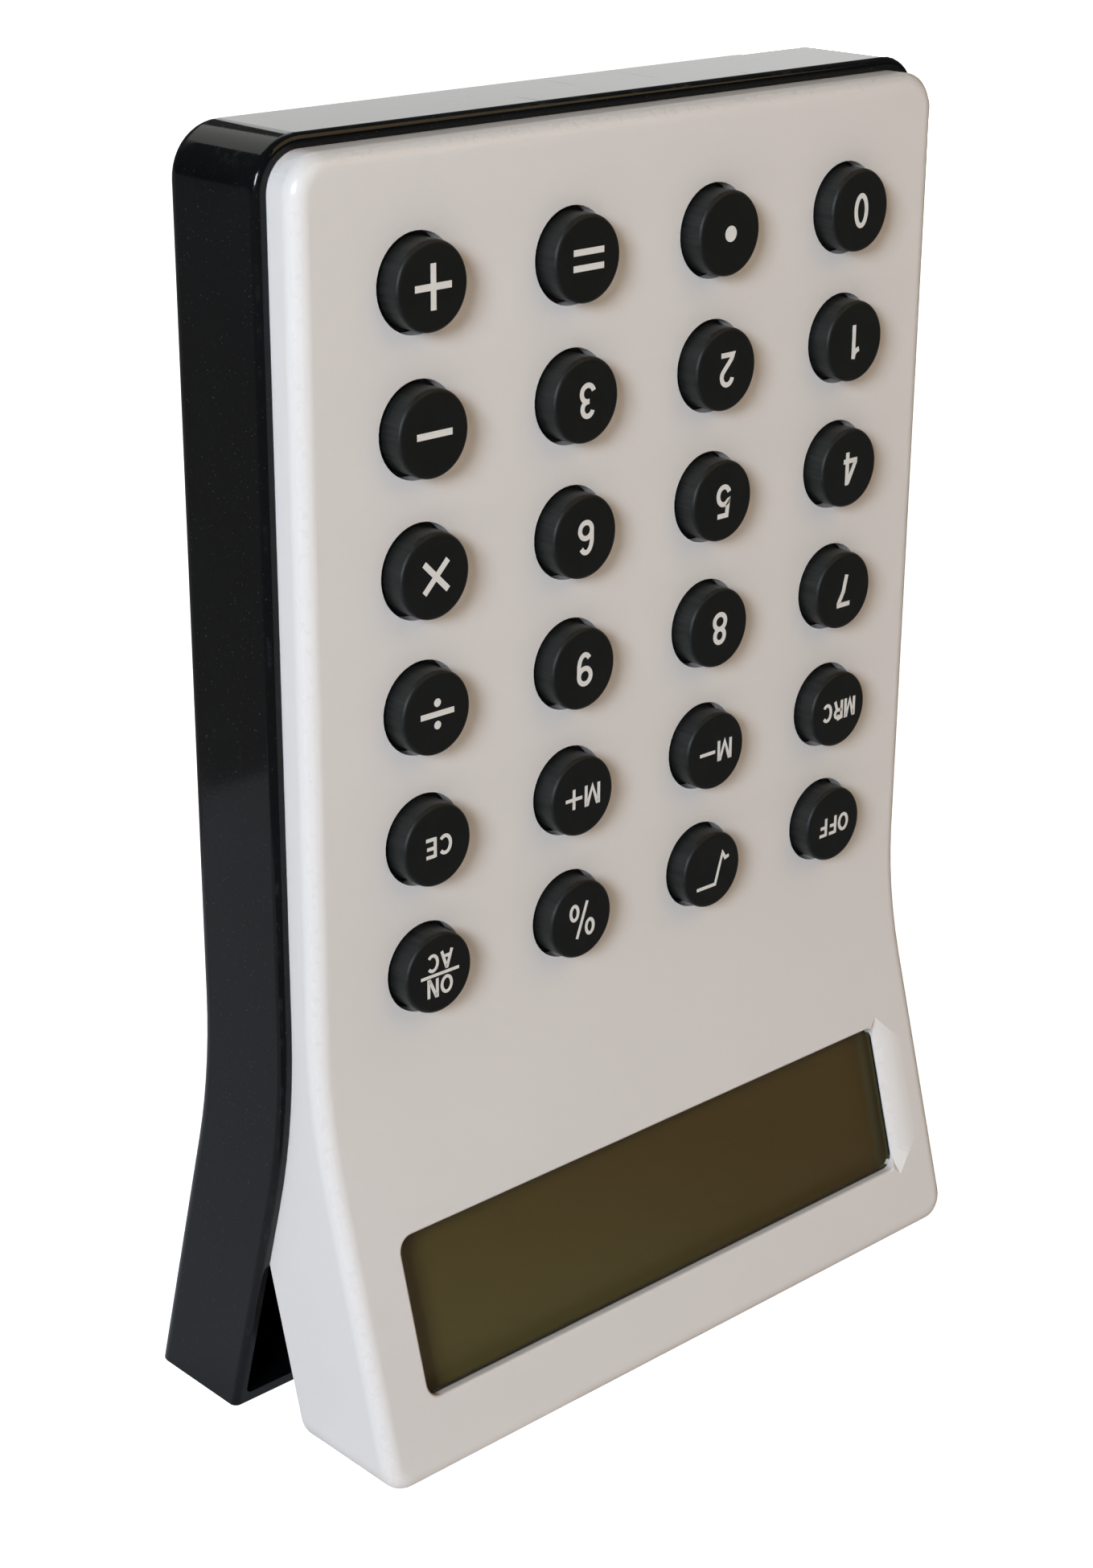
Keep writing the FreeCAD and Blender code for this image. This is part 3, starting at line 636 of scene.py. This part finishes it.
ribbon_film, at = new_finish("ribbon_film")
x = at.axes()[0]
wire_pitch = 0.001
wire_half = 0.0003
copper = abs(at.maths("WRAP", x, -wire_pitch / 2, wire_pitch / 2)) < wire_half
creases = at.noise(500.0, 2.0)
at.surface(colour=copper.tint((0.55, 0.40, 0.16, 1), (0.50, 0.24, 0.10, 1)),
           roughness=0.28 + creases * 0.12,
           normal=(copper * 0.6 + creases * 0.4).bump(0.00003))
finish_nodes(ribbon_film, "display_ribbon")


# ---- Floor, light and camera ----
# The calculator stands on a plain white table top in a bright room, with a window on its left, a
# warm ceiling lamp in front and a pale wall behind it.

def flat_sheet(name, centre, width, length, material):
    half_x = width / 2
    half_y = length / 2
    corners = [(centre[0] + sx * half_x, centre[1] + sy * half_y, centre[2])
               for sx, sy in ((-1, -1), (1, -1), (1, 1), (-1, 1))]
    mesh = bpy.data.meshes.new(name)
    mesh.from_pydata(corners, [], [(0, 1, 2, 3)])
    mesh.materials.append(material)
    sheet = bpy.data.objects.new(name, mesh)
    bpy.context.scene.collection.objects.link(sheet)
    return sheet


def glowing_paint(name, colour, glow_colour, glow_strength):
    """Matt paint that is lit and also glows a little, so that it stays pale far from the lamps."""
    material, at = new_finish(name)
    grain = at.noise(60.0, 3.0)
    darker = tuple(channel * 0.985 for channel in colour[:3]) + (1,)
    matt = at.node("BsdfDiffuse", None, {"Color": grain.tint(colour, darker)})
    glow = at.node("Emission", None, {"Color": glow_colour, "Strength": glow_strength})
    lit = at.node("AddShader", None, {0: matt, 1: glow})
    at.node("OutputMaterial", None, {"Surface": lit})
    return material


# The table top as it is seen. It stays out of the gloss of the calculator.
table_side = 12.0
table_top = flat_sheet("floor", (0, 0, -0.0002), table_side, table_side,
                       glowing_paint("table_paint", (0.88, 0.88, 0.88, 1), (1, 1, 1, 1), 1.0))
table_top.visible_diffuse = False
table_top.visible_glossy = False
table_top.visible_shadow = False

# The same table top as the calculator's underside and faces are lit by it, a little warm.
underlay = flat_sheet("floor_underlay", (0, 0, -0.0004), table_side, table_side,
                      glowing_paint("underlay_paint", (0.87, 0.83, 0.78, 1), (1.0, 0.55, 0.35, 1), 0.05))
underlay.visible_camera = False
underlay.visible_glossy = False

# A sheet of paper beside the rear foot, which the lower part of the black side mirrors.
paper = flat_sheet("floor_paper", (-0.13, 0.07, -0.0003), 0.22, 0.22,
                   glowing_paint("paper_white", (0.62, 0.64, 0.70, 1), (1, 1, 1, 1), 0.10))
paper.visible_camera = False
paper.visible_diffuse = False
paper.visible_shadow = False

# A pale wall all round, far off.
wall_points = []
wall_faces = []
wall_sides = 48
wall_radius = 5.8
wall_foot = -0.01
wall_height = 6.0
for side in range(wall_sides):
    angle = 2 * math.pi * side / wall_sides
    for level in (wall_foot, wall_height):
        wall_points.append((wall_radius * math.cos(angle), wall_radius * math.sin(angle), level))
    following = (side + 1) % wall_sides
    wall_faces.append((2 * side, 2 * side + 1, 2 * following + 1, 2 * following))
wall_mesh = bpy.data.meshes.new("backdrop")
wall_mesh.from_pydata(wall_points, [], wall_faces)
wall_mesh.materials.append(glowing_paint("wall_paint", (0.8, 0.8, 0.8, 1), (1, 1, 1, 1), 1.0))
backdrop = bpy.data.objects.new("backdrop", wall_mesh)
bpy.context.scene.collection.objects.link(backdrop)
backdrop.visible_diffuse = False
backdrop.visible_glossy = False
backdrop.visible_shadow = False

room = bpy.data.worlds.new("room")
bpy.context.scene.world = room
room.use_nodes = True
room.node_tree.nodes.clear()
sky = Wire(room.node_tree, None).node("TexCoord", output="Generated")
height = sky.axes()[2]
lit_floor = (0.17, 0.165, 0.16, 1)
far_wall = (0.05, 0.05, 0.05, 1)
ceiling = (0.12, 0.12, 0.12, 1)
room_stops = [(0.0, lit_floor), (0.495, lit_floor), (0.505, far_wall), (1.0, ceiling)]
shade = height.node("ValToRGB", {"stops": room_stops}, {0: height * 0.5 + 0.5})
backing = shade.node("Background", None, {"Color": shade, "Strength": 1.0})
backing.node("OutputWorld", None, {"Surface": backing})
room.cycles_visibility.diffuse = False


def soft_light(name, centre, target, width, length, power, colour):
    """A rectangular soft box, turned to face its target."""
    lamp = bpy.data.lights.new(name, "AREA")
    lamp.shape = "RECTANGLE"
    lamp.size = width
    lamp.size_y = length
    lamp.energy = power
    lamp.color = colour
    box = bpy.data.objects.new(name, lamp)
    box.location = centre
    box.rotation_euler = (Vector(target) - Vector(centre)).to_track_quat("-Z", "Y").to_euler()
    box.visible_camera = False
    bpy.context.scene.collection.objects.link(box)


middle = (0.0, 0.0, 0.09)
soft_light("window_light", (-1.14, -0.63, 0.585), middle, 0.39, 0.39, 16.3, (0.86, 0.915, 1.0))
soft_light("wall_light", (0.557, 0.613, 0.33), (0.0, 0.0, 0.16), 0.33, 0.36, 0.40, (1.0, 1.0, 0.99))
soft_light("room_light", (0.35, -0.62, 0.72), middle, 0.8, 0.6, 2.15, (1.0, 0.69, 0.36))
soft_light("back_light", (0.15, 0.75, 0.95), middle, 0.9, 0.6, 1.4, (1.0, 0.98, 0.95))
soft_light("low_light", (0.95, 0.55, 0.10), middle, 0.50, 0.12, 2.2, (1.0, 0.98, 0.95))

camera_data = bpy.data.cameras.new("camera")
camera_data.sensor_fit = "VERTICAL"
camera_data.sensor_width = 36.0
camera_data.sensor_height = 36.0
camera_data.lens = 65.97
camera_data.shift_y = 0.005
camera = bpy.data.objects.new("camera", camera_data)
bpy.context.scene.collection.objects.link(camera)
camera.location = (-0.23391, -0.24585, 0.20542)
looked_at = Vector((-0.0150, -0.01033, 0.0783))
aim = looked_at - camera.location
roll = math.radians(0.305)
turned = aim.to_track_quat("-Z", "Y").to_matrix() @ Matrix.Rotation(roll, 3, "Z")
camera.rotation_euler = turned.to_euler()
bpy.context.scene.camera = camera
bpy.context.scene.view_settings.view_transform = "Standard"
